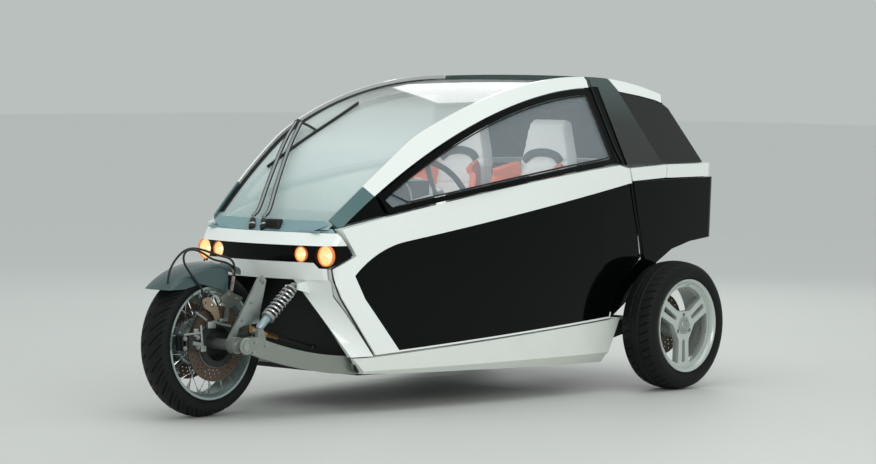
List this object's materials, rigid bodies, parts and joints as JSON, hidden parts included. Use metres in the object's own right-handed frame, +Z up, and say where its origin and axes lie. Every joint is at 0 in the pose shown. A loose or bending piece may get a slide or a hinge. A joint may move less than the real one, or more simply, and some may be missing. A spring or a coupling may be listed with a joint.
{
  "type": "three wheeled car",
  "caption": "Closed two seat car on three wheels, one hub-steered in front and two behind, with front-hinged doors and a lifting tail canopy.",
  "frame": {"origin": "under the middle of the car, on the ground", "axes": "+X is the car's left, -Y its front, +Z up; the front axle is at y = -1.2295 m"},
  "size_m": [1.529, 3.065, 1.3988],
  "materials": {
    "white_paint": "gloss",
    "gloss_black": "gloss",
    "dark_grey": "satin",
    "lamp_glass": "clear",
    "teal_trim": "satin",
    "black_plastic": "matt",
    "screen_glass": "clear",
    "side_glass": "clear",
    "red_lens": "gloss",
    "seat_cloth": "matt",
    "cast_metal": "matt",
    "frame_steel": "satin",
    "satin_alloy": "satin",
    "zinc_steel": "satin",
    "spring_steel": "gloss",
    "black_rubber": "matt",
    "black_steel": "satin",
    "tyre": "matt",
    "chrome": "gloss",
    "brake_disc": "matt",
    "silver_rim": "satin"
  },
  "bodies": {
    "body": {"floor_tub": "dark_grey", "nose_band": "white_paint", "lamp_strip": "gloss_black", "headlamps": "lamp_glass", "nose_frame": "white_paint", "cowl": "teal_trim", "wipers": "black_plastic", "windscreen": "screen_glass", "roof_arches": "white_paint", "pillar_feet": "teal_trim", "quarter_panels": "gloss_black", "hoop": "gloss_black", "door_posts": "gloss_black", "sills": "white_paint", "tail_shell": "gloss_black", "rear_belts": "white_paint", "tail_lamps": "red_lens", "seat_left": "seat_cloth", "seat_right": "seat_cloth", "dashboard": "black_plastic", "engine": "cast_metal", "rear_subframe": "frame_steel", "swing_arms": "satin_alloy", "front_axle": "zinc_steel", "front_shocks": "spring_steel"},
    "steer": {"hub_carrier": "cast_metal", "mudguard": "teal_trim", "guard_bracket": "satin_alloy", "brake_hoses": "black_rubber"},
    "front_wheel": {"front_tyre": "tyre", "front_rim": "chrome", "front_spokes": "chrome", "front_discs": "brake_disc"},
    "rod": {"steering_rod": "black_steel"},
    "rear_wheel_left": {"rear_tyre_left": "tyre", "rear_rim_left": "silver_rim"},
    "rear_wheel_right": {"rear_tyre_right": "tyre", "rear_rim_right": "silver_rim"},
    "door_left": {"door_left": "white_paint", "door_panel_left": "gloss_black", "door_sash_left": "gloss_black", "door_glass_left": "side_glass"},
    "door_right": {"door_right": "white_paint", "door_panel_right": "gloss_black", "door_sash_right": "gloss_black", "door_glass_right": "side_glass"},
    "canopy": {"canopy": "white_paint", "canopy_glass": "side_glass"},
    "hand_wheel": {"steering_wheel": "black_plastic"}
  },
  "joints": [
    {"name": "steer", "type": "hinge", "parent": "body", "child": "steer", "pos_m": [0, -1.2295, 0.303], "axis": [0, 0, 1], "range_deg": [-25, 25]},
    {"name": "front_spin", "type": "hinge", "parent": "steer", "child": "front_wheel", "pos_m": [0, -1.2295, 0.303], "axis": [1, 0, 0], "continuous": true},
    {"name": "rod_eye", "type": "hinge", "parent": "steer", "child": "rod", "pos_m": [0.145, -1.0895, 0.355], "axis": [0, 0, 1], "range_deg": [-25, 25]},
    {"name": "rear_spin_left", "type": "hinge", "parent": "body", "child": "rear_wheel_left", "pos_m": [0.677, 1.0365, 0.287], "axis": [1, 0, 0], "continuous": true},
    {"name": "rear_spin_right", "type": "hinge", "parent": "body", "child": "rear_wheel_right", "pos_m": [-0.677, 1.0365, 0.287], "axis": [1, 0, 0], "continuous": true},
    {"name": "door_left_hinge", "type": "hinge", "parent": "body", "child": "door_left", "pos_m": [0.372, -0.8575, 0.56], "axis": [0, 0, -1], "range_deg": [0, 60]},
    {"name": "door_right_hinge", "type": "hinge", "parent": "body", "child": "door_right", "pos_m": [-0.372, -0.8575, 0.56], "axis": [0, 0, 1], "range_deg": [0, 60]},
    {"name": "canopy_hinge", "type": "hinge", "parent": "body", "child": "canopy", "pos_m": [0, 0.878, 1.388], "axis": [1, 0, 0], "range_deg": [0, 55]},
    {"name": "hand_wheel_turn", "type": "hinge", "parent": "body", "child": "hand_wheel", "pos_m": [0.24, -0.0645, 0.88], "axis": [0, 0.8829, 0.4695], "range_deg": [-300, 300]}
  ],
  "couplings": [
    {"joint": "rod_eye", "follows": "steer", "ratio": -1},
    {"joint": "hand_wheel_turn", "follows": "steer", "ratio": 12}
  ]
}
